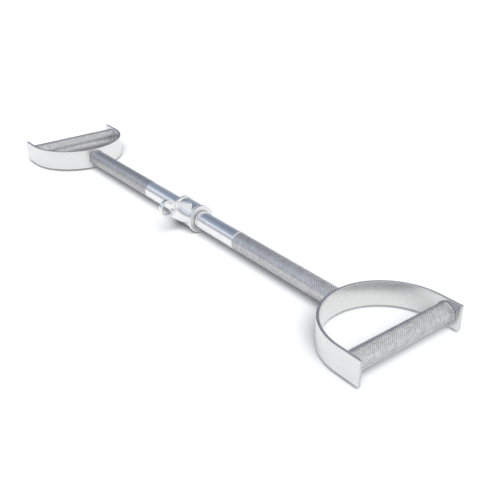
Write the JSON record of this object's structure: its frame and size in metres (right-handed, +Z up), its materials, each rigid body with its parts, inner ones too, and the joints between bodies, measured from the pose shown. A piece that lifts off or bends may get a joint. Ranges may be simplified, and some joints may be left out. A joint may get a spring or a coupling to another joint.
{
  "type": "neutral-grip pull-up bar",
  "caption": "Straight knurled steel pull-up bar with D-shaped stirrups, knurled cross grips at both ends and a revolving centre hanger with an eye.",
  "frame": {"origin": "under the middle of the bar, on the surface that the hub's collars rest on, at the centre of the footprint", "axes": "+X along the shaft, +Z up, the hanger's eye leans towards -Y"},
  "size_m": [0.889, 0.175, 0.0578],
  "materials": {
    "knurled_chrome": "chrome over a fine diamond knurl, smooth polished middle stretch",
    "satin_steel": "satin plated flat strip with faint mottling",
    "polished_chrome": "bright polished plating",
    "weld_metal": "plated fillet weld with fine ripples",
    "bronze": "sintered bronze",
    "nylon": "natural nylon",
    "black_screw_steel": "black oxide"
  },
  "bodies": {
    "bar": {"shaft": "knurled_chrome", "right_grip": "knurled_chrome", "left_grip": "knurled_chrome", "right_stirrup": "satin_steel", "left_stirrup": "satin_steel", "right_shaft_weld": "weld_metal", "left_shaft_weld": "weld_metal", "right_grip_weld_front": "weld_metal", "right_grip_weld_back": "weld_metal", "left_grip_weld_front": "weld_metal", "left_grip_weld_back": "weld_metal", "right_collar": "polished_chrome", "left_collar": "polished_chrome", "right_grub_screw": "black_screw_steel", "left_grub_screw": "black_screw_steel", "right_thrust_washer": "nylon", "left_thrust_washer": "nylon"},
    "hanger": {"hanger_sleeve": "polished_chrome", "hanger_eye": "polished_chrome", "right_bushing": "bronze", "left_bushing": "bronze"}
  },
  "joints": [
    {"name": "hanger_spin", "type": "hinge", "parent": "bar", "child": "hanger", "pos_m": [0, 0, 0.022], "axis": [-1, 0, 0], "continuous": true}
  ]
}
